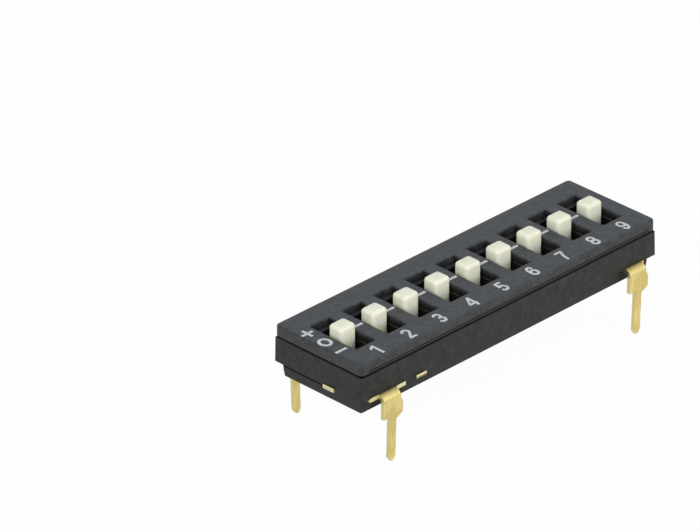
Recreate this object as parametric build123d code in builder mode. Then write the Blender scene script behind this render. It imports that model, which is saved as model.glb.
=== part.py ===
from build123d import *
from math import radians, tan
import os

# A strip of nine three-position slide switches with through-hole leads, in millimetres.
# X runs along the row, Y to the back and Z up; the origin is in the middle of the underside.

os.makedirs("parts", exist_ok=True)

# Row of switches
positions = 9
pitch = 2.54
end_margin = 1.98  # centre of an end switch to the end face of the base
travel = 1.0  # from the middle stop to either end stop

# Base: a band above the step and a drafted foot below it
body_width = 7.05
step_height = 0.95  # underside to the step
band_height = 1.57
band_corner = 0.12
band_draft = 1.0  # degrees
end_step = 0.21  # width of the step on the two ends
side_step = 0.29  # and on the two long sides
undercut_depth = 0.10  # thin recess right below the step, behind the stub on each end
undercut_height = 0.26
undercut_y = (-0.40, 3.00)
foot_draft = 8.0  # degrees
foot_corner = 0.25
long_wall = 0.475  # wall along the front and the back
partition = 0.44  # wall between two chambers
seat_depth = 0.22  # how far the cover's plug goes into the base
pocket_corner = 0.30
pocket_end_wall = 0.55
rim_break = 0.05
clamp_hole = 0.80  # square recesses that held the lead frame while the base was moulded
clamp_hole_y = 1.30

# Cover
cover_height = 0.71  # rim to top face
parting_gap = 0.10  # open line between the rim of the base and that of the cover
cover_inset = 0.04
cover_corner = 0.29
cover_top_round = 0.15
plug_clearance = 0.03
lip_height = 0.11  # rim to the groove along the long sides
groove_width = 0.07
groove_depth = 0.06
groove_end = 0.55  # end face of the cover to the end of the groove
slot_width = 1.51
slot_length = 3.70
slot_depth = 0.53  # top face to the ledge in the slot
slot_round = 0.05
window_width = 1.40
window_end_clearance = 0.03

# Slider
knob_width = 1.22  # along the row
knob_length = 1.08  # along the travel
knob_rise = 0.63  # above the cover
knob_edge = 0.24
knob_top_round = 0.22
flange_thickness = 0.60
slide_clearance = 0.05  # above the flange and under the skids
side_clearance = 0.08  # each side of the flange
end_clearance = 0.05  # flange to chamber end at a stop
skid_width = 0.24
peg_size = 0.45  # square, so that the moving contact can't turn on it
peg_length = 0.22
peg_y = -0.30

# Moving contact: one spring strip with two fingers at each end
spring_thickness = 0.10
spring_width = 1.20
finger_gap = 0.26
spring_bend = 0.12
contact_gap = 0.03  # finger to lead frame, which a real finger closes by its spring
peg_hole_clearance = 0.02
output_reach = 0.95  # middle of the slider to the fingers on the output pad
common_reach = -1.85  # middle of the slider to the fingers on a common rail
flat_back = 0.30
flat_front = -0.95
toe_back = 1.20
toe_front = -1.93
toe_lift = 0.03

# Lead frame
lead_thickness = 0.25
frame_level = 0.82  # underside of the base to the underside of the lead frame
row_spacing = 7.62  # between the middles of the two rows of leads, at their tips
lead_lean = 2.0  # degrees that the rows stand wider apart towards the bend
bend_radius = 0.15
output_width = 1.20
output_end = -0.20  # inner end of an output pad
exit_depth = 0.10  # chamber to the place in the back wall where an output strip widens
rail_overhang = 0.75  # rail beyond the middle of an end switch
plus_rail = (-1.27, -0.57)  # front and back edges
minus_rail = (-3.10, -2.60)
plus_tail_inset = 0.57  # end face of the base to the leg beside the first chamber
leg_width = 0.30
wing_length = 2.84
wing_inner = -3.35
stub_reach = 0.10  # how far a cut stub stands out of the band
end_stub_width = 0.85
front_stub_width = 0.80
front_stub_x = -7.45

# Lead below the bend
shoulder_width = 1.52
neck_inset = 0.18  # the right edge stands back above the shoulder
neck_level = 0.62
flare_level = 0.25
shoulder_level = -0.45  # seats on the circuit board
shoulder_slant = 0.25
pin_width = 0.50
tip_level = -3.40
tip_length = 0.26
tip_width = 0.20

# Levels and sizes that follow
body_length = (positions - 1) * pitch + 2 * end_margin
base_top = step_height + band_height
seat_level = base_top - seat_depth
cover_rim = base_top + parting_gap
cover_top = cover_rim + cover_height
ledge_level = cover_top - slot_depth
frame_top = frame_level + lead_thickness
chamber_width = pitch - partition
chamber_length = body_width - 2 * long_wall
pocket_length = body_length - 2 * pocket_end_wall
flange_width = chamber_width - 2 * side_clearance
flange_length = chamber_length - 2 * (travel + end_clearance)
flange_top = seat_level - slide_clearance
flange_bottom = flange_top - flange_thickness
window_length = knob_length + 2 * (travel + window_end_clearance)
outer_bend = bend_radius + lead_thickness
outer_y = (row_spacing + lead_thickness) / 2  # outer face of a lead at its tip
lean_slope = tan(radians(lead_lean))
corner_y = outer_y + (frame_top - tip_level) * lean_slope
bend_y = corner_y - outer_bend * tan(radians(45 + lead_lean / 2))
stub_y = body_width / 2 + stub_reach
first_x = -(positions - 1) * pitch / 2
last_x = -first_x
switch_x = [first_x + number * pitch for number in range(positions)]


def block(x_range, y_range):
    # Rectangle in the running sketch between two X and two Y values
    x_low, x_high = x_range
    y_low, y_high = y_range
    with Locations(((x_low + x_high) / 2, (y_low + y_high) / 2)):
        Rectangle(x_high - x_low, y_high - y_low)


def output_strip(x):
    # Pad on the chamber floor, wider where it leaves through the back wall
    exit_y = chamber_length / 2 + exit_depth
    with BuildSketch(Plane.XY.offset(frame_level)) as strip:
        block((x - output_width / 2, x + output_width / 2), (output_end, exit_y))
        block((x - shoulder_width / 2, x + shoulder_width / 2), (exit_y, bend_y))
    return strip.sketch


def plus_strip():
    # Rail across all chambers, round the first chamber to its lead, with cut stubs at both ends
    leg_x = -body_length / 2 + plus_tail_inset
    end_x = body_length / 2 + stub_reach
    rail_middle = sum(plus_rail) / 2
    stub_range = (rail_middle - end_stub_width / 2, rail_middle + end_stub_width / 2)
    with BuildSketch(Plane.XY.offset(frame_level)) as strip:
        block((leg_x, -leg_x), plus_rail)
        block((-end_x, leg_x + leg_width), stub_range)
        block((-leg_x - leg_width, end_x), stub_range)
        block((leg_x, leg_x + leg_width), (-stub_y, plus_rail[1]))
        block((leg_x, leg_x + wing_length), (-stub_y, wing_inner))
    return strip.sketch


def minus_strip():
    # Rail along the front of all chambers to the last lead, with one cut stub near the first
    stub_range = (front_stub_x - front_stub_width / 2, front_stub_x + front_stub_width / 2)
    with BuildSketch(Plane.XY.offset(frame_level)) as strip:
        block((first_x - rail_overhang, last_x + shoulder_width / 2), minus_rail)
        block(stub_range, (-stub_y, minus_rail[1]))
        block((last_x - shoulder_width / 2, last_x + shoulder_width / 2), (-bend_y, minus_rail[1]))
    return strip.sketch


def lead_outline(x):
    # Neck, shoulder that seats on the board, pin and blunt tip, seen from the front
    shoulder, pin = shoulder_width / 2, pin_width / 2
    neck = shoulder - neck_inset
    tip_top = tip_level + tip_length
    with BuildSketch(Plane.XZ) as outline:
        with BuildLine():
            Polyline(
                (x - shoulder, frame_top),
                (x - shoulder, shoulder_level),
                (x - pin, shoulder_level),
                (x - pin, tip_top),
                (x - tip_width / 2, tip_level),
                (x + tip_width / 2, tip_level),
                (x + pin, tip_top),
                (x + pin, shoulder_level - shoulder_slant),
                (x + shoulder, shoulder_level),
                (x + shoulder, flare_level),
                (x + neck, neck_level),
                (x + neck, frame_top),
                close=True,
            )
        make_face()
    return outline.sketch


def outer_lead(x, side):
    # The strip outside the wall; side is 1 for the back row and -1 for the front row
    with BuildPart() as lead:
        with BuildSketch(Plane.YZ.offset(x)):
            with BuildLine():
                FilletPolyline(
                    (bend_y - lead_thickness, frame_top),
                    (corner_y, frame_top),
                    (outer_y - lead_thickness * lean_slope, tip_level - lead_thickness),
                    radius=outer_bend,
                )
                offset(amount=lead_thickness, side=Side.RIGHT)
            make_face()
        extrude(amount=shoulder_width / 2, both=True)
        extrude(lead_outline(x), amount=row_spacing, both=True, mode=Mode.INTERSECT)
        if side < 0:
            mirror(about=Plane.XZ, mode=Mode.REPLACE)
    return lead.part


with BuildPart() as base:
    with BuildSketch(Plane.XY.offset(step_height)):
        Rectangle(body_length, body_width)
    extrude(amount=band_height, taper=band_draft)
    fillet(base.edges().filter_by(Plane.XY, reverse=True), radius=band_corner)
    chamfer(base.faces().sort_by(Axis.Z)[-1].edges(), length=rim_break)
    # Drafted foot under the step
    with BuildSketch(Plane.XY.offset(step_height)):
        RectangleRounded(body_length - 2 * end_step, body_width - 2 * side_step, foot_corner)
    extrude(amount=-step_height, taper=foot_draft)
    with BuildSketch(Plane.XY.offset(step_height)):
        foot_end = body_length / 2 - end_step
        block((-foot_end - undercut_depth, -foot_end + undercut_depth), undercut_y)
        block((foot_end - undercut_depth, foot_end + undercut_depth), undercut_y)
    extrude(amount=-undercut_height, mode=Mode.SUBTRACT)
    # Seat for the plug of the cover
    with BuildSketch(Plane.XY.offset(seat_level)):
        RectangleRounded(pocket_length, chamber_length, pocket_corner)
    extrude(amount=seat_depth, mode=Mode.SUBTRACT)
    # One chamber for each switch
    with BuildSketch(Plane.XY.offset(frame_top)):
        with GridLocations(pitch, chamber_length, positions, 1):
            Rectangle(chamber_width, chamber_length)
    extrude(amount=seat_level - frame_top, mode=Mode.SUBTRACT)
    # The base is moulded round the lead frame
    for x in switch_x:
        extrude(output_strip(x), amount=lead_thickness, mode=Mode.SUBTRACT)
    extrude(plus_strip(), amount=lead_thickness, mode=Mode.SUBTRACT)
    extrude(minus_strip(), amount=lead_thickness, mode=Mode.SUBTRACT)
    # Clamp recesses reach up to the underside of the output pads
    with BuildSketch(Plane.XY):
        with Locations((0, clamp_hole_y)):
            with GridLocations(pitch, clamp_hole, positions, 1):
                Rectangle(clamp_hole, clamp_hole)
    extrude(amount=frame_level, mode=Mode.SUBTRACT)
base.part.label = "base"
export_step(base.part, "parts/base.step")

with BuildPart() as cover:
    cover_length = body_length - 2 * cover_inset
    cover_width = body_width - 2 * cover_inset
    with BuildSketch(Plane.XY.offset(cover_rim)):
        RectangleRounded(cover_length, cover_width, cover_corner)
    extrude(amount=cover_height)
    fillet(cover.faces().sort_by(Axis.Z)[-1].edges(), radius=cover_top_round)
    # Plug that drops into the base and stands on the partitions
    with BuildSketch(Plane.XY.offset(seat_level)):
        RectangleRounded(
            pocket_length - 2 * plug_clearance,
            chamber_length - 2 * plug_clearance,
            pocket_corner - plug_clearance,
        )
    extrude(amount=cover_rim - seat_level)
    # Groove above the lip on both long sides
    with BuildSketch(Plane.XY.offset(cover_rim + lip_height)):
        with GridLocations(0, cover_width, 1, 2):
            Rectangle(cover_length - 2 * groove_end, 2 * groove_depth)
    extrude(amount=groove_width, mode=Mode.SUBTRACT)
    # Slots, with a narrower window below the ledge that keeps the slider in
    with BuildSketch(Plane.XY.offset(ledge_level)):
        with GridLocations(pitch, slot_length, positions, 1):
            Rectangle(slot_width, slot_length)
    extrude(amount=slot_depth, mode=Mode.SUBTRACT)
    with BuildSketch(Plane.XY.offset(seat_level)):
        with GridLocations(pitch, window_length, positions, 1):
            Rectangle(window_width, window_length)
    extrude(amount=ledge_level - seat_level, mode=Mode.SUBTRACT)
    slot_mouths = cover.faces().sort_by(Axis.Z)[-1].inner_wires().edges()
    chamfer(slot_mouths, length=slot_round)
cover.part.label = "cover"
export_step(cover.part, "parts/cover.step")

for number, x in enumerate(switch_x, start=1):
    with BuildPart() as output_terminal:
        extrude(output_strip(x), amount=lead_thickness)
        add(outer_lead(x, 1))
    output_terminal.part.label = f"output_terminal_{number}"
    export_step(output_terminal.part, f"parts/output_terminal_{number}.step")

with BuildPart() as plus_terminal:
    extrude(plus_strip(), amount=lead_thickness)
    with BuildSketch(Plane.XY.offset(frame_level)):
        block((first_x - shoulder_width / 2, first_x + shoulder_width / 2), (-bend_y, wing_inner))
    extrude(amount=lead_thickness)
    add(outer_lead(first_x, -1))
plus_terminal.part.label = "plus_terminal"
export_step(plus_terminal.part, "parts/plus_terminal.step")

with BuildPart() as minus_terminal:
    extrude(minus_strip(), amount=lead_thickness)
    add(outer_lead(last_x, -1))
minus_terminal.part.label = "minus_terminal"
export_step(minus_terminal.part, "parts/minus_terminal.step")

for number, x in enumerate(switch_x, start=1):
    with BuildPart() as slider:
        # Flange that stays under the cover, on two skids
        with BuildSketch(Plane.XY.offset(flange_bottom)):
            with Locations((x, 0)):
                Rectangle(flange_width, flange_length)
        extrude(amount=flange_thickness)
        skid_level = frame_top + slide_clearance
        with BuildSketch(Plane.XY.offset(skid_level)):
            with Locations((x, 0)):
                with GridLocations(flange_width - skid_width, 0, 2, 1):
                    Rectangle(skid_width, flange_length)
        extrude(amount=flange_bottom - skid_level)
        # Knob through the window and the slot
        with BuildSketch(Plane.XY.offset(flange_top)):
            with Locations((x, 0)):
                RectangleRounded(knob_width, knob_length, knob_edge)
        extrude(amount=cover_top + knob_rise - flange_top)
        fillet(slider.faces().sort_by(Axis.Z)[-1].edges(), radius=knob_top_round)
        # Peg that carries the moving contact
        with BuildSketch(Plane.XY.offset(flange_bottom)):
            with Locations((x, peg_y)):
                Rectangle(peg_size, peg_size)
        extrude(amount=-peg_length)
    slider.part.label = f"slider_{number}"
    export_step(slider.part, f"parts/slider_{number}.step")

    with BuildPart() as moving_contact:
        spring_top = flange_bottom
        finger_level = frame_top + contact_gap + spring_thickness
        with BuildSketch(Plane.YZ.offset(x)):
            with BuildLine():
                FilletPolyline(
                    (toe_front, finger_level + toe_lift),
                    (common_reach, finger_level),
                    (flat_front, spring_top),
                    (flat_back, spring_top),
                    (output_reach, finger_level),
                    (toe_back, finger_level + toe_lift),
                    radius=spring_bend,
                )
                offset(amount=spring_thickness, side=Side.RIGHT)
            make_face()
        extrude(amount=spring_width / 2, both=True)
        # Slit between the two fingers at each end, and the hole for the peg
        with BuildSketch(Plane.XY.offset(frame_top)):
            slit = (x - finger_gap / 2, x + finger_gap / 2)
            block(slit, (toe_front - spring_bend, flat_front - spring_bend))
            block(slit, (flat_back + spring_bend, toe_back + spring_bend))
            with Locations((x, peg_y)):
                Rectangle(peg_size + 2 * peg_hole_clearance, peg_size + 2 * peg_hole_clearance)
        extrude(amount=spring_top - frame_top, mode=Mode.SUBTRACT)
    moving_contact.part.label = f"moving_contact_{number}"
    export_step(moving_contact.part, f"parts/moving_contact_{number}.step")
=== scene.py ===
import math
import bmesh
import bpy
from mathutils import Matrix, Vector
from mathutils.geometry import delaunay_2d_cdt


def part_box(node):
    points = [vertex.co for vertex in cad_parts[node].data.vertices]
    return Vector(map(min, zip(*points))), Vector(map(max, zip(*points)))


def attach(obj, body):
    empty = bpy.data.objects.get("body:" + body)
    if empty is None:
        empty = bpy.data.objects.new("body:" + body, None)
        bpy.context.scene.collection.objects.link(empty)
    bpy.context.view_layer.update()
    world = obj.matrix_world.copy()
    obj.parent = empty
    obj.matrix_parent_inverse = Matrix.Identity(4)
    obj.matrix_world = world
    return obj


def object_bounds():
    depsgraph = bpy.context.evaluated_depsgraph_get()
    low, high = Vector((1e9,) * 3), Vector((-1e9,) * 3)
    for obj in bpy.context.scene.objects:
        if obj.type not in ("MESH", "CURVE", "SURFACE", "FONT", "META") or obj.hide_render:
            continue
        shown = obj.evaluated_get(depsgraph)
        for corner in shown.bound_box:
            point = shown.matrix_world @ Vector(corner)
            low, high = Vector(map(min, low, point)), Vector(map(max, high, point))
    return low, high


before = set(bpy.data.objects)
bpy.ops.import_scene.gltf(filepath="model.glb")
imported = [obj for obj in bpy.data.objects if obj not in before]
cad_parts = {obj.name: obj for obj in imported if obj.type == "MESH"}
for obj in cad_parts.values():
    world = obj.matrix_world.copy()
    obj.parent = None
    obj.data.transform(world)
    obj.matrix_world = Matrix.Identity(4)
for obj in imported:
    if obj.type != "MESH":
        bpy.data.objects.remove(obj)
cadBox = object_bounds()
scene = bpy.context.scene
mm = 0.001
positions = sum(name.startswith("slider_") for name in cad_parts)
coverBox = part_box("cover")
print("frame loaded:", len(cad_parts), "nodes,", positions, "switches")


def addNode(tree, kind, **values):
    node = tree.nodes.new(kind)
    for name, value in values.items():
        setattr(node, name, value)
    return node


def mathNode(tree, operation, first, second=None):
    node = addNode(tree, "ShaderNodeMath", operation=operation)
    for socket, value in zip(node.inputs, (first, second)):
        if isinstance(value, (int, float)):
            socket.default_value = value
        elif value is not None:
            tree.links.new(value, socket)
    return node.outputs[0]


def mixColour(tree, factor, first, second, blend="MIX"):
    node = addNode(tree, "ShaderNodeMix", data_type="RGBA", blend_type=blend)
    tree.links.new(factor, node.inputs[0])
    for socket, value in ((node.inputs[6], first), (node.inputs[7], second)):
        if isinstance(value, bpy.types.NodeSocket):
            tree.links.new(value, socket)
        else:
            socket.default_value = (*value, 1)
    return node.outputs[2]


def remap(tree, value, fromRange, toRange=(0.0, 1.0)):
    node = addNode(tree, "ShaderNodeMapRange")
    tree.links.new(value, node.inputs[0])
    for socket, number in zip(list(node.inputs)[1:5], (*fromRange, *toRange)):
        socket.default_value = number
    return node.outputs[0]


def newGroup(name, inputs, outputs):
    group = bpy.data.node_groups.new(name, "ShaderNodeTree")
    for label, kind, value in inputs:
        socket = group.interface.new_socket(label, in_out="INPUT", socket_type=kind)
        socket.default_value = value
    for label, kind in outputs:
        group.interface.new_socket(label, in_out="OUTPUT", socket_type=kind)
    return group, group.nodes.new("NodeGroupInput"), group.nodes.new("NodeGroupOutput")


def placeGroup(tree, group, values):
    node = addNode(tree, "ShaderNodeGroup", node_tree=group)
    for label, value in values.items():
        node.inputs[label].default_value = value
    return node


mouldPattern = {
    "grainDetail": 3, "cloudDetail": 4,
    "grainShare": 0.6, "pitShare": 0.4,  # of the height: soft noise and round pits
    "pitRange": (0.0, 0.7),  # from the middle of a pit to its rim
    "speckRange": (0.62, 0.75),  # only the highest noise becomes a pale speck
}


def buildMouldGrain(look):
    # fine spark-eroded grain of a mould, and the slow cloudiness of filled plastic
    group, start, end = newGroup(
        "mouldGrain",
        [("Grain Scale", "NodeSocketFloat", 9000), ("Cloud Scale", "NodeSocketFloat", 500)],
        [("Height", "NodeSocketFloat"), ("Cloud", "NodeSocketFloat"), ("Speck", "NodeSocketFloat")],
    )
    place = addNode(group, "ShaderNodeTexCoord").outputs["Object"]
    grain = addNode(group, "ShaderNodeTexNoise")
    grain.inputs["Detail"].default_value = look["grainDetail"]
    cloud = addNode(group, "ShaderNodeTexNoise")
    cloud.inputs["Detail"].default_value = look["cloudDetail"]
    cells = addNode(group, "ShaderNodeTexVoronoi")
    for node in (grain, cloud, cells):
        group.links.new(place, node.inputs["Vector"])
    for node, label in ((grain, "Grain Scale"), (cells, "Grain Scale"), (cloud, "Cloud Scale")):
        group.links.new(start.outputs[label], node.inputs["Scale"])
    soft = mathNode(group, "MULTIPLY", grain.outputs[0], look["grainShare"])
    pits = remap(group, cells.outputs["Distance"], look["pitRange"])
    pits = mathNode(group, "MULTIPLY", pits, look["pitShare"])
    group.links.new(mathNode(group, "ADD", soft, pits), end.inputs["Height"])
    group.links.new(cloud.outputs[0], end.inputs["Cloud"])
    group.links.new(remap(group, grain.outputs[0], look["speckRange"]), end.inputs["Speck"])
    return group


squareRange = (0.6, 0.8)  # how squarely a face looks along an axis, from not counted to fully counted


def squareTo(tree, normal, axis):
    # one where a face looks along the axis, none where it lies beside it
    return remap(tree, mathNode(tree, "ABSOLUTE", normal.outputs[axis]), squareRange)


stripPattern = {"lineDetail": 4, "toneScale": 700}


def buildStripGrain(look):
    # rolling lines of metal strip along its length, and a mask for its sheared edges
    group, start, end = newGroup(
        "stripGrain",
        [("Line Scale", "NodeSocketFloat", 6000), ("Stretch", "NodeSocketFloat", 0.06)],
        [("Height", "NodeSocketFloat"), ("Tone", "NodeSocketFloat"), ("Sheared", "NodeSocketFloat")],
    )
    place = addNode(group, "ShaderNodeTexCoord").outputs["Object"]
    split = addNode(group, "ShaderNodeSeparateXYZ")
    group.links.new(place, split.inputs[0])
    along = mathNode(group, "MULTIPLY", split.outputs["Z"], start.outputs["Stretch"])
    depth = mathNode(group, "MULTIPLY", split.outputs["Y"], start.outputs["Stretch"])
    joined = addNode(group, "ShaderNodeCombineXYZ")
    for value, socket in zip((split.outputs["X"], depth, along), joined.inputs):
        group.links.new(value, socket)
    lines = addNode(group, "ShaderNodeTexNoise")
    lines.inputs["Detail"].default_value = look["lineDetail"]
    group.links.new(joined.outputs[0], lines.inputs["Vector"])
    group.links.new(start.outputs["Line Scale"], lines.inputs["Scale"])
    tone = addNode(group, "ShaderNodeTexNoise")
    tone.inputs["Scale"].default_value = look["toneScale"]
    group.links.new(place, tone.inputs["Vector"])
    facing = addNode(group, "ShaderNodeSeparateXYZ")
    group.links.new(addNode(group, "ShaderNodeNewGeometry").outputs["True Normal"], facing.inputs[0])
    group.links.new(lines.outputs[0], end.inputs["Height"])
    group.links.new(tone.outputs[0], end.inputs["Tone"])
    group.links.new(squareTo(group, facing, "X"), end.inputs["Sheared"])
    return group


def buildInsideBox():
    # soft mask of what lies between two corners of a box, and of its faces that look along one axis alone
    group, start, end = newGroup(
        "insideBox",
        [
            ("Low", "NodeSocketVector", (0, 0, 0)), ("High", "NodeSocketVector", (1, 1, 1)),
            ("Margin", "NodeSocketFloat", 0.01 * mm),
        ],
        [(name, "NodeSocketFloat") for name in ("Mask", "Facing X", "Facing Y", "Facing Z")],
    )
    place = addNode(group, "ShaderNodeTexCoord").outputs["Object"]
    above = addNode(group, "ShaderNodeVectorMath", operation="SUBTRACT")
    below = addNode(group, "ShaderNodeVectorMath", operation="SUBTRACT")
    least = addNode(group, "ShaderNodeVectorMath", operation="MINIMUM")
    for source, target in (
        (place, above.inputs[0]), (start.outputs["Low"], above.inputs[1]),
        (start.outputs["High"], below.inputs[0]), (place, below.inputs[1]),
        (above.outputs[0], least.inputs[0]), (below.outputs[0], least.inputs[1]),
    ):
        group.links.new(source, target)
    split = addNode(group, "ShaderNodeSeparateXYZ")
    group.links.new(least.outputs[0], split.inputs[0])
    depth = mathNode(group, "MINIMUM", split.outputs[0], split.outputs[1])
    depth = mathNode(group, "MINIMUM", depth, split.outputs[2])
    mask = addNode(group, "ShaderNodeMath", operation="DIVIDE", use_clamp=True)
    group.links.new(depth, mask.inputs[0])
    group.links.new(start.outputs["Margin"], mask.inputs[1])
    group.links.new(mask.outputs[0], end.inputs["Mask"])
    facing = addNode(group, "ShaderNodeSeparateXYZ")
    group.links.new(addNode(group, "ShaderNodeNewGeometry").outputs["True Normal"], facing.inputs[0])
    for axis in "XYZ":
        square = squareTo(group, facing, axis)
        group.links.new(mathNode(group, "MULTIPLY", mask.outputs[0], square), end.inputs["Facing " + axis])
    return group


mouldGrain = buildMouldGrain(mouldPattern)
stripGrain = buildStripGrain(stripPattern)
insideBox = buildInsideBox()
print("shader groups built")


def newMaterial(name):
    material = bpy.data.materials.new(name)
    material.use_nodes = True
    return material, material.node_tree, material.node_tree.nodes["Principled BSDF"]


def softEdges(tree, radius):
    # rounds the look of sharp moulded or stamped edges
    bevel = addNode(tree, "ShaderNodeBevel", samples=4)
    bevel.inputs["Radius"].default_value = radius
    return bevel.outputs[0]


def addBump(tree, shader, height, look):
    edges = softEdges(tree, look["edge"])
    bump = addNode(tree, "ShaderNodeBump")
    bump.inputs["Distance"].default_value = look["bump"]
    bump.inputs["Strength"].default_value = look["bumpStrength"]
    tree.links.new(height, bump.inputs["Height"])
    tree.links.new(edges, bump.inputs["Normal"])
    tree.links.new(bump.outputs[0], shader.inputs["Normal"])


colourSpan = (0.35, 0.65)  # what part of a noise's range goes from the first colour to the second
roughSpan = (0.3, 0.7)  # the same for roughness
hard = 0.01  # margin of a mask with a hard edge, in mm

basePlastic = {
    "colour": (0.0150, 0.0165, 0.0150), "cloudColour": (0.0325, 0.0345, 0.0320),
    "speckColour": (0.085, 0.088, 0.083), "speckShare": 0.40,
    "roughness": (0.55, 0.66), "specular": 0.22, "grainScale": 7000, "cloudScale": 2400,
    "bump": 0.006 * mm, "bumpStrength": 0.55, "edge": 0.035 * mm,
    "shadeColour": (0.0005, 0.0005, 0.0005),
    "shades": (  # what lies in shadow: the kind of mask, two corners and a soft margin in mm
        ("Mask", (-13, -4, 2.49), (13, 4, 2.60), hard),  # parting gap
        ("Facing Y", (-13, -4, 2.46), (13, 4, 2.60), hard),
        ("Mask", (-11.94, -0.41, 0.60), (-11.70, 3.01, 0.94), hard),  # recess below the step at each end
        ("Mask", (11.70, -0.41, 0.60), (11.94, 3.01, 0.94), hard),
    ),
}
coverPlastic = {
    "colour": (0.0152, 0.0180, 0.0194), "cloudColour": (0.0372, 0.0404, 0.0415),
    "speckColour": (0.105, 0.110, 0.115), "speckShare": 0.60,
    "roughness": (0.42, 0.56), "specular": 0.33, "grainScale": 7000, "cloudScale": 2400,
    "bump": 0.006 * mm, "bumpStrength": 0.7, "edge": 0.15 * mm,
    "shadeColour": (0.0005, 0.0005, 0.0005),
    "shades": (
        ("Mask", (-13, -4, 2.20), (13, 4, 2.65), hard),  # parting gap
        ("Mask", (-11.56, -3.52, 2.68), (11.56, -3.40, 2.83), hard),  # grooves of the two long sides
        ("Mask", (-11.56, 3.40, 2.68), (11.56, 3.52, 2.83), hard),
        ("Facing X", (-11.3, -2.1, 2.00), (11.3, 2.1, 3.30), 0.36),  # slot walls, darker the deeper
        ("Facing Y", (-11.3, -2.1, 2.00), (11.3, 2.1, 3.25), 2.50),
        ("Facing Y", (-11.3, -2.1, 2.60), (11.3, 2.1, 2.91), 0.09),
    ),
    "paintedLight": (  # painted light: the same, each with a factor to the colour
        ("Facing Z", (-13, -4, 3.30), (13, 4, 3.40), hard, (1.20, 1.25, 1.43)),  # painted reflection: the top face lighter and bluer, as if it mirrored a bluish light above
        ("Facing Y", (-11.3, -2.1, 2.80), (11.3, 2.1, 3.90), 0.45, (2.1, 2.1, 2.1)),  # painted light: the upper slot walls paler, as if their rounded top edges caught the light
    ),
}
knobPlastic = {
    "colour": (0.83, 0.84, 0.705), "cloudColour": (0.80, 0.80, 0.655),
    "speckColour": (0.85, 0.85, 0.74), "speckShare": 0.35,
    "roughness": (0.45, 0.55), "specular": 0.30, "grainScale": 5000, "cloudScale": 1400,
    "bump": 0.004 * mm, "bumpStrength": 0.35, "edge": 0.03 * mm,
    "glowThrough": 0.8, "glowDepth": 0.7 * mm,  # share of light that enters the plastic, and how deep
    "glowColour": (1, 0.9, 0.6),  # share of that depth for red, green and blue
    "shadeColour": (0.080, 0.076, 0.045),
    "shades": (("Mask", (-13, -4, 0.0), (13, 4, 2.262), hard),),  # the flange, deep in the slots
}


def boxMask(tree, mask, low, high, margin):
    # corners and soft margin in mm
    box = placeGroup(tree, insideBox, {
        "Low": [v * mm for v in low], "High": [v * mm for v in high], "Margin": margin * mm,
    })
    return box.outputs[mask]


def placeMouldGrain(tree, look):
    scales = {"Grain Scale": look["grainScale"], "Cloud Scale": look["cloudScale"]}
    return placeGroup(tree, mouldGrain, scales)


def buildPlastic(name, look):
    material, tree, shader = newMaterial(name)
    grain = placeMouldGrain(tree, look)
    cloud = remap(tree, grain.outputs["Cloud"], colourSpan)
    colour = mixColour(tree, cloud, look["colour"], look["cloudColour"])
    speck = mathNode(tree, "MULTIPLY", grain.outputs["Speck"], look["speckShare"])
    colour = mixColour(tree, speck, colour, look["speckColour"])
    for mask, low, high, margin in look["shades"]:
        colour = mixColour(tree, boxMask(tree, mask, low, high, margin), colour, look["shadeColour"])
    # painted light: the colour multiplied lighter or bluer in the masked places
    for mask, low, high, margin, factor in look.get("paintedLight", ()):
        colour = mixColour(tree, boxMask(tree, mask, low, high, margin), colour, factor, "MULTIPLY")
    tree.links.new(colour, shader.inputs["Base Color"])
    rough = remap(tree, grain.outputs["Cloud"], roughSpan, look["roughness"])
    tree.links.new(rough, shader.inputs["Roughness"])
    shader.inputs["Specular IOR Level"].default_value = look["specular"]
    if "glowThrough" in look:
        shader.inputs["Subsurface Weight"].default_value = look["glowThrough"]
        shader.inputs["Subsurface Radius"].default_value = look["glowColour"]
        shader.inputs["Subsurface Scale"].default_value = look["glowDepth"]
    addBump(tree, shader, grain.outputs["Height"], look)
    return material


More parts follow.
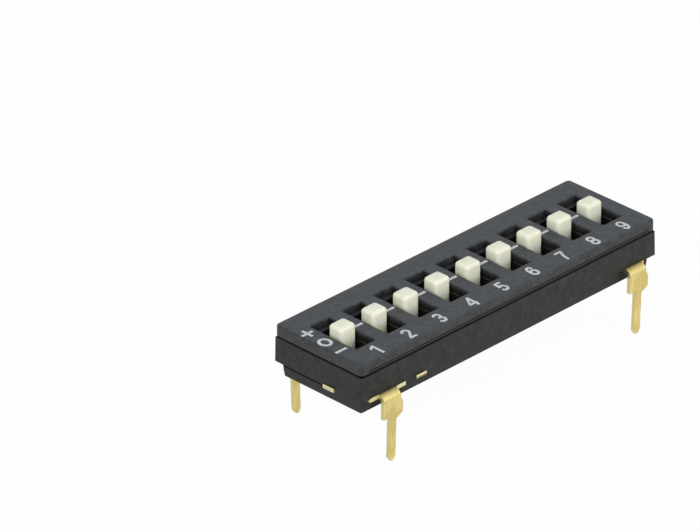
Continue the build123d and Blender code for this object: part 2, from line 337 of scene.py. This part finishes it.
goldPlate = {
    "colour": (0.745, 0.635, 0.275), "warmColour": (0.625, 0.505, 0.190), "toneRange": (0.88, 1.12),
    "shearedColour": (0.61, 0.535, 0.225), "paintedBendShade": (0.56, 0.475, 0.20),
    "cutColour": (0.74, 0.68, 0.44), "tornColour": (0.22, 0.17, 0.075), "paintedWallReflection": (0.19, 0.15, 0.06),
    "tornBelow": (0.89 * mm, 0.96 * mm), "tornUneven": 0.03 * mm,  # a torn cut turns dark between these levels
    "roughness": (0.48, 0.62), "shearedRoughness": 0.30, "lineScale": 7500, "stretch": 0.22,
    "bump": 0.025 * mm, "bumpStrength": 0.9, "edge": 0.04 * mm,
    "patches": (  # the kind of mask, two corners and a soft margin in mm, and the colour; the last one wins; the cut and torn ends are the metal's own colour, the bends and the top faces beside the wall get painted shade and painted reflection
        # painted shade: the bends darker, to tone down the lamps' highlight on them
        ("Mask", (-13, -4.3, 0.60), (13, -3.66, 1.3), 0.20, "paintedBendShade"),
        ("Mask", (-13, 3.66, 0.60), (13, 4.3, 1.3), 0.20, "paintedBendShade"),
        ("Facing Y", (-7.9, -3.7, 0.80), (-7.0, -3.55, 1.09), hard, "tornCut"),  # front stub
        ("Facing X", (-12.3, -1.6, 0.80), (-12.1, -0.3, 1.09), hard, "cutColour"),  # end stubs
        ("Facing X", (12.1, -1.6, 0.80), (12.3, -0.3, 1.09), hard, "cutColour"),
        ("Facing Y", (-11.7, -3.7, 0.80), (-8.6, -3.55, 1.09), hard, "cutColour"),  # front edge of the wing
        ("Facing X", (-12.3, -1.2, 0.90), (-12.1, -0.58, 0.95), hard, "tornColour"),  # crack in each stub
        ("Facing X", (12.1, -1.2, 0.90), (12.3, -0.58, 0.95), hard, "tornColour"),
        ("Facing Z", (-13, -3.68, 1.0), (13, -3.3, 1.3), 0.05, "paintedWallReflection"),  # painted reflection: the top faces beside the wall darkened, as if they mirrored the dark wall
        ("Facing Z", (-13, 3.3, 1.0), (13, 3.68, 1.3), 0.05, "paintedWallReflection"),
        ("Facing Z", (-12.4, -1.6, 1.0), (-12.0, -0.3, 1.3), hard, "paintedWallReflection"),
        ("Facing Z", (12.0, -1.6, 1.0), (12.4, -0.3, 1.3), hard, "paintedWallReflection"),
    ),
}
springPlate = {**goldPlate, "roughness": (0.30, 0.45)}


def tornCut(tree, height, look):
    # bright where the strip is sheared, dark and uneven where it has torn off below
    level = addNode(tree, "ShaderNodeSeparateXYZ")
    tree.links.new(addNode(tree, "ShaderNodeTexCoord").outputs["Object"], level.inputs[0])
    uneven = remap(tree, height, roughSpan, (-look["tornUneven"], look["tornUneven"]))
    whole = remap(tree, mathNode(tree, "ADD", level.outputs["Z"], uneven), look["tornBelow"])
    return mixColour(tree, whole, look["tornColour"], look["cutColour"])


def buildGold(name, look):
    material, tree, shader = newMaterial(name)
    grain = placeGroup(tree, stripGrain, {"Line Scale": look["lineScale"], "Stretch": look["stretch"]})
    tone = mathNode(tree, "ADD", grain.outputs["Tone"], grain.outputs["Height"])
    tone = remap(tree, tone, look["toneRange"])
    plated = mixColour(tree, tone, look["colour"], look["warmColour"])
    colour = mixColour(tree, grain.outputs["Sheared"], plated, look["shearedColour"])
    colours = {**look, "tornCut": tornCut(tree, grain.outputs["Height"], look)}
    for mask, low, high, margin, key in look["patches"]:
        colour = mixColour(tree, boxMask(tree, mask, low, high, margin), colour, colours[key])
    tree.links.new(colour, shader.inputs["Base Color"])
    rolled = remap(tree, grain.outputs["Height"], roughSpan, look["roughness"])
    rough = addNode(tree, "ShaderNodeMix", data_type="FLOAT")
    tree.links.new(grain.outputs["Sheared"], rough.inputs[0])
    tree.links.new(rolled, rough.inputs[2])
    rough.inputs[3].default_value = look["shearedRoughness"]
    tree.links.new(rough.outputs[0], shader.inputs["Roughness"])
    shader.inputs["Metallic"].default_value = 1
    addBump(tree, shader, grain.outputs["Height"], look)
    return material


printInk = {
    "colour": (0.62, 0.65, 0.66), "thinColour": (0.50, 0.53, 0.54), "roughness": 0.6, "specular": 0.3,
    "grainScale": 7000, "cloudScale": 1750,
}


def buildInk(name, look):
    material, tree, shader = newMaterial(name)
    cloud = remap(tree, placeMouldGrain(tree, look).outputs["Cloud"], colourSpan)
    tree.links.new(mixColour(tree, cloud, look["colour"], look["thinColour"]), shader.inputs["Base Color"])
    shader.inputs["Roughness"].default_value = look["roughness"]
    shader.inputs["Specular IOR Level"].default_value = look["specular"]
    return material


materials = {
    "base": buildPlastic("basePlastic", basePlastic),
    "cover": buildPlastic("coverPlastic", coverPlastic),
    "slider": buildPlastic("knobPlastic", knobPlastic),
    "terminal": buildGold("goldPlate", goldPlate),
    "moving_contact": buildGold("springPlate", springPlate),
    "ink": buildInk("printInk", printInk),
}
for name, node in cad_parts.items():
    kind = next(key for key in materials if key in name)
    node.data.materials.clear()
    node.data.materials.append(materials[kind])
print("materials on", len(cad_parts), "nodes")


printMarks = {
    "digitHeight": 1.04 * mm, "digitWidth": 0.57, "stroke": 0.162,  # width and stroke in digit heights
    "digitY": -2.715 * mm,
    "signX": -11.60 * mm, "signPitch": 1.36 * mm, "signSize": 0.84 * mm, "signStroke": 0.19 * mm,
    "ringSize": (0.83 * mm, 0.95 * mm), "ringY": -0.06 * mm, "ringStroke": 0.185 * mm,
    "barLength": 0.68 * mm, "barWidth": 0.20 * mm,
    "inkRise": 0.006 * mm, "inkDepth": 0.030 * mm,  # deep enough to meet the cover's rounded edge
}


def arc(centre, radii, fromAngle, toAngle, steps=18):
    angles = [math.radians(fromAngle + (toAngle - fromAngle) * i / steps) for i in range(steps + 1)]
    return [(centre[0] + radii[0] * math.cos(a), centre[1] + radii[1] * math.sin(a)) for a in angles]


def strokeQuads(path, width, sharpest=0.5):
    # a band of even width along a path, one quad for each step, with butt ends
    # sharpest keeps the mitre of a sharp corner from growing past twice the half width
    points = [Vector(p) for p in path]
    sides = []
    for i, point in enumerate(points):
        before = (point - points[i - 1]).normalized() if i else None
        after = (points[i + 1] - point).normalized() if i + 1 < len(points) else None
        onward = after or before
        along = ((before or after) + onward).normalized()
        normal = Vector((-along.y, along.x))
        reach = width / 2 / max(sharpest, normal.dot(Vector((-onward.y, onward.x))))
        sides.append((point + normal * reach, point - normal * reach))
    return [[sides[i][0], sides[i + 1][0], sides[i + 1][1], sides[i][1]] for i in range(len(sides) - 1)]


def rectangle(xRange, yRange):
    (left, right), (low, high) = xRange, yRange
    return [[(left, low), (right, low), (right, high), (left, high)]]


def digitShapes(w, s):
    # plain grotesque numerals in a cell one unit high and w wide, drawn with stroke s
    h, middle, side = s / 2, w / 2, (w - s) / 2
    small = (side - 0.02, (0.5 - h) / 2 + 0.01)
    large = (side, (0.5 - h) / 2 + 0.01)
    topBowl, lowBowl = (middle, 1 - h - small[1]), (middle, h + large[1])
    one = rectangle((0.46 - s, 0.46), (0, 1))
    one += [[(0.05, 0.80), (0.05, 0.62), (0.47 - s, 0.78), (0.47 - s, 1.0)]]
    two = strokeQuads(arc((middle, 0.70), (side, 0.30 - h), 178, -32) + [(0.13, 0.14)], s)
    two += rectangle((0.03, w - 0.02), (0, s))
    three = strokeQuads(arc(topBowl, small, 165, -90), s) + strokeQuads(arc(lowBowl, large, 90, -165), s)
    three += rectangle((middle - 0.08, middle + 0.02), (0.5 - h, 0.5 + h))
    four = rectangle((0.53 - s, 0.53), (0, 1)) + rectangle((-0.01, w + 0.03), (0.22, 0.22 + 0.9 * s))
    four += [[(-0.01, 0.39), (0.17, 0.36), (0.54 - s, 0.74), (0.54 - s, 1.0)]]
    five = rectangle((0.10, w - 0.04), (1 - s, 1))
    five += [[(0.10, 1.0), (0.255, 1.0), (0.21, 0.50), (0.035, 0.46)]]
    five += strokeQuads(arc((middle, 0.33), (side, 0.33 - h), 148, -162), s)
    bowl = strokeQuads(arc((middle, 0.325), (side, 0.325 - h), 0, 360, 30), s)
    six = bowl + strokeQuads(arc((middle, 0.5), (side, 0.5 - h), 28, 205, 24), s)
    seven = rectangle((0.03, w), (1 - s, 1))
    seven += strokeQuads([(0.50, 0.88), (0.40, 0.70), (0.32, 0.50), (0.265, 0.27), (0.24, 0)], s)
    eight = strokeQuads(arc(topBowl, small, 0, 360, 26), s)
    eight += strokeQuads(arc(lowBowl, large, 0, 360, 30), s)
    nine = [[(w - x, 1 - y) for x, y in shape] for shape in six]
    return [one, two, three, four, five, six, seven, eight, nine]


def uniteShapes(shapes, merge=1e-6):
    # one flat net over all shapes, with the parts that lie in none of them left out
    # points nearer than merge become one
    corners, loops = [], []
    for shape in shapes:
        loop = [Vector(p) for p in shape]
        turning = sum(loop[i - 1].cross(point) for i, point in enumerate(loop))
        loops.append(list(range(len(corners), len(corners) + len(loop))))
        corners += loop if turning > 0 else loop[::-1]
    points, _, faces, _, _, sources = delaunay_2d_cdt(corners, [], loops, 0, merge)
    return points, [face for face, source in zip(faces, sources) if source]


def addInk(mesh, shapes, place, size):
    # place is where the shapes' zero point goes on the cover, in metres
    points, faces = uniteShapes(shapes)
    level = coverBox[1].z - printMarks["inkDepth"]
    low = [mesh.verts.new((place[0] + p.x * size, place[1] + p.y * size, level)) for p in points]
    flat = [mesh.faces.new([low[i] for i in face]) for face in faces]
    raised = bmesh.ops.extrude_face_region(mesh, geom=flat, use_keep_orig=True)
    lifted = [item for item in raised["geom"] if isinstance(item, bmesh.types.BMVert)]
    bmesh.ops.translate(mesh, verts=lifted, vec=(0, 0, printMarks["inkRise"] + printMarks["inkDepth"]))


def finishInk(mesh, name):
    loose = [vert for vert in mesh.verts if not vert.link_faces]
    bmesh.ops.delete(mesh, geom=loose, context="VERTS")
    bmesh.ops.recalc_face_normals(mesh, faces=mesh.faces)
    data = bpy.data.meshes.new(name)
    mesh.to_mesh(data)
    mesh.free()
    dressPiece(bpy.data.objects.new(name, data), "ink", "housing")


def dressPiece(piece, finish, body):
    scene.collection.objects.link(piece)
    piece.data.materials.clear()
    piece.data.materials.append(materials[finish])
    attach(piece, body)


def switchCentre(number):
    low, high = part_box(f"slider_{number}")
    return (low + high) / 2


def printDigits():
    mesh = bmesh.new()
    height = printMarks["digitHeight"]
    width, stroke = printMarks["digitWidth"], printMarks["stroke"]
    for number, shapes in enumerate(digitShapes(width, stroke)[:positions], start=1):
        corner = (switchCentre(number).x - width * height / 2, printMarks["digitY"] - height / 2)
        addInk(mesh, shapes, corner, height)
    finishInk(mesh, "printedDigits")


def printSigns():
    mesh = bmesh.new()
    half, stroke = printMarks["signSize"] / 2, printMarks["signStroke"] / 2
    ring = [size / 2 - printMarks["ringStroke"] / 2 for size in printMarks["ringSize"]]
    upright = rectangle((-stroke, stroke), (-half, half))
    level = rectangle((-half, half), (-stroke, stroke))
    circle = strokeQuads(arc((0, 0), ring, 0, 360, 48), printMarks["ringStroke"])
    x, step = printMarks["signX"], printMarks["signPitch"]
    addInk(mesh, upright + level, (x, step), 1)
    addInk(mesh, circle, (x, printMarks["ringY"]), 1)
    addInk(mesh, level, (x, -step), 1)
    finishInk(mesh, "printedSigns")


def buildBarTree():
    # the bars on the ribs between the slots repeat, so a node tree lays them out
    tree = bpy.data.node_groups.new("ribBars", "GeometryNodeTree")
    for label, kind in (
        ("Geometry", "NodeSocketGeometry"), ("Count", "NodeSocketInt"), ("First", "NodeSocketVector"),
        ("Step", "NodeSocketVector"), ("Bar Size", "NodeSocketVector"), ("Ink", "NodeSocketMaterial"),
    ):
        tree.interface.new_socket(label, in_out="INPUT", socket_type=kind)
    tree.interface.new_socket("Geometry", in_out="OUTPUT", socket_type="NodeSocketGeometry")
    start, end = tree.nodes.new("NodeGroupInput"), tree.nodes.new("NodeGroupOutput")
    line = addNode(tree, "GeometryNodeMeshLine", mode="OFFSET")
    bar = tree.nodes.new("GeometryNodeMeshCube")
    copies = tree.nodes.new("GeometryNodeInstanceOnPoints")
    real = tree.nodes.new("GeometryNodeRealizeInstances")
    finish = tree.nodes.new("GeometryNodeSetMaterial")
    for source, target in (
        (start.outputs["Count"], line.inputs["Count"]),
        (start.outputs["First"], line.inputs["Start Location"]),
        (start.outputs["Step"], line.inputs["Offset"]), (start.outputs["Bar Size"], bar.inputs["Size"]),
        (line.outputs["Mesh"], copies.inputs["Points"]), (bar.outputs["Mesh"], copies.inputs["Instance"]),
        (copies.outputs[0], real.inputs[0]), (real.outputs[0], finish.inputs["Geometry"]),
        (start.outputs["Ink"], finish.inputs["Material"]), (finish.outputs[0], end.inputs[0]),
    ):
        tree.links.new(source, target)
    return tree


def applyTree(name, tree, values):
    # runs the tree once and keeps its result as a plain mesh
    carrier = bpy.data.objects.new(name + "Carrier", bpy.data.meshes.new(name + "Carrier"))
    scene.collection.objects.link(carrier)
    modifier = carrier.modifiers.new("tree", "NODES")
    modifier.node_group = tree
    for item in tree.interface.items_tree:
        if item.in_out == "INPUT" and item.name in values:
            modifier[item.identifier] = values[item.name]
    evaluated = carrier.evaluated_get(bpy.context.evaluated_depsgraph_get())
    mesh = bpy.data.meshes.new_from_object(evaluated)
    mesh.name = name
    carrier.modifiers.remove(modifier)
    bpy.data.objects.remove(carrier)
    return bpy.data.objects.new(name, mesh)


def printBars():
    first, second = switchCentre(1), switchCentre(2)
    depth = printMarks["inkRise"] + printMarks["inkDepth"]
    level = coverBox[1].z + printMarks["inkRise"] - depth / 2
    piece = applyTree("printedBars", buildBarTree(), {
        "Count": positions - 1,
        "First": ((first.x + second.x) / 2, 0, level),
        "Step": (second.x - first.x, 0, 0),
        "Bar Size": (printMarks["barLength"], printMarks["barWidth"], depth),
        "Ink": materials["ink"],
    })
    dressPiece(piece, "ink", "housing")


printDigits()
printSigns()
printBars()
print("printed marks done")


studio = {
    "floorSize": 2.0, "floorColour": 0.72, "floorGlow": 0.97,  # the glow is seen but lights nothing
    "ambient": 0.40, "ambientColour": (1.0, 1.0, 1.0),
}
lampSetup = {  # places and sizes in metres, power in watts
    "topLamp": {"place": (0.02, 0.05, 0.45), "size": 0.40, "power": 0.35, "colour": (0.92, 0.975, 1.0)},
    "leftLamp": {"place": (-0.42, -0.12, 0.22), "size": 0.30, "power": 1.10, "colour": (1.0, 0.99, 0.97)},
    "frontLamp": {"place": (0.10, -0.45, 0.20), "size": 0.30, "power": 1.20, "colour": (1.0, 0.99, 0.97)},
}


def seenDirectly(tree):
    # camera, mirror and glass rays
    rays = tree.nodes.new("ShaderNodeLightPath")
    seen = mathNode(tree, "MAXIMUM", rays.outputs["Is Camera Ray"], rays.outputs["Is Glossy Ray"])
    return mathNode(tree, "MAXIMUM", seen, rays.outputs["Is Transmission Ray"])


def buildFloor():
    half, level = studio["floorSize"] / 2, cadBox[0].z
    corners = [(x, y, level) for x, y in rectangle((-half, half), (-half, half))[0]]
    data = bpy.data.meshes.new("floor")
    data.from_pydata(corners, [], [(0, 1, 2, 3)])
    floor = bpy.data.objects.new("floor", data)
    scene.collection.objects.link(floor)
    material = bpy.data.materials.new("paleFloor")
    material.use_nodes = True
    tree = material.node_tree
    tree.nodes.clear()
    paper = tree.nodes.new("ShaderNodeBsdfDiffuse")
    paper.inputs["Color"].default_value = (*[studio["floorColour"]] * 3, 1)
    glow = tree.nodes.new("ShaderNodeEmission")
    mix = tree.nodes.new("ShaderNodeMixShader")
    tree.links.new(mathNode(tree, "MULTIPLY", seenDirectly(tree), studio["floorGlow"]), mix.inputs[0])
    tree.links.new(paper.outputs[0], mix.inputs[1])
    tree.links.new(glow.outputs[0], mix.inputs[2])
    tree.links.new(mix.outputs[0], tree.nodes.new("ShaderNodeOutputMaterial").inputs["Surface"])
    data.materials.append(material)


def buildWorld():
    world = bpy.data.worlds.new("studio")
    scene.world = world
    world.use_nodes = True
    tree = world.node_tree
    tree.nodes.clear()
    ambient, white = tree.nodes.new("ShaderNodeBackground"), tree.nodes.new("ShaderNodeBackground")
    ambient.inputs["Color"].default_value = (*studio["ambientColour"], 1)
    ambient.inputs["Strength"].default_value = studio["ambient"]
    white.inputs["Color"].default_value = (1, 1, 1, 1)
    mix = tree.nodes.new("ShaderNodeMixShader")
    tree.links.new(seenDirectly(tree), mix.inputs[0])
    tree.links.new(ambient.outputs[0], mix.inputs[1])
    tree.links.new(white.outputs[0], mix.inputs[2])
    tree.links.new(mix.outputs[0], tree.nodes.new("ShaderNodeOutputWorld").inputs["Surface"])


def addLamp(name, look):
    data = bpy.data.lights.new(name, "AREA")
    data.size, data.energy, data.color = look["size"], look["power"], look["colour"]
    lamp = bpy.data.objects.new(name, data)
    lamp.location = look["place"]
    lamp.rotation_euler = (-Vector(look["place"])).to_track_quat("-Z", "Y").to_euler()
    lamp.visible_camera = False
    scene.collection.objects.link(lamp)


cameraSetup = {
    "azimuth": -44.741, "elevation": 29.069, "roll": -0.454,  # degrees; azimuth 0 looks along +Y
    "distance": 386.70 * mm, "lens": 344.82, "sensor": 36.0,
    "clip": (0.01, 10.0),
    "pictureWidth": 700, "pictureHeight": 530,
    "originPixel": (467.54, 320.82),  # where the part's origin shows in the picture
}


def buildCamera():
    setup = cameraSetup
    azimuth, elevation, roll = (math.radians(setup[key]) for key in ("azimuth", "elevation", "roll"))
    level = math.cos(elevation)
    back = Vector((math.sin(azimuth) * level, -math.cos(azimuth) * level, math.sin(elevation)))
    levelRight = Vector((math.cos(azimuth), math.sin(azimuth), 0))
    levelUp = back.cross(levelRight)
    right = levelRight * math.cos(roll) + levelUp * math.sin(roll)
    up = levelUp * math.cos(roll) - levelRight * math.sin(roll)
    pixel = setup["distance"] * setup["sensor"] / (setup["lens"] * setup["pictureWidth"])
    across = (setup["originPixel"][0] - setup["pictureWidth"] / 2) * pixel
    below = (setup["originPixel"][1] - setup["pictureHeight"] / 2) * pixel
    data = bpy.data.cameras.new("camera")
    data.lens, data.sensor_width = setup["lens"], setup["sensor"]
    data.clip_start, data.clip_end = setup["clip"]
    camera = bpy.data.objects.new("camera", data)
    turn = Matrix((right, up, back)).transposed().to_4x4()
    camera.matrix_world = Matrix.Translation(back * setup["distance"] - right * across + up * below) @ turn
    scene.collection.objects.link(camera)
    scene.camera = camera


buildFloor()
buildWorld()
for lampName, lampLook in lampSetup.items():
    addLamp(lampName, lampLook)
buildCamera()
scene.view_settings.view_transform = "Standard"
print("floor, light and camera done")
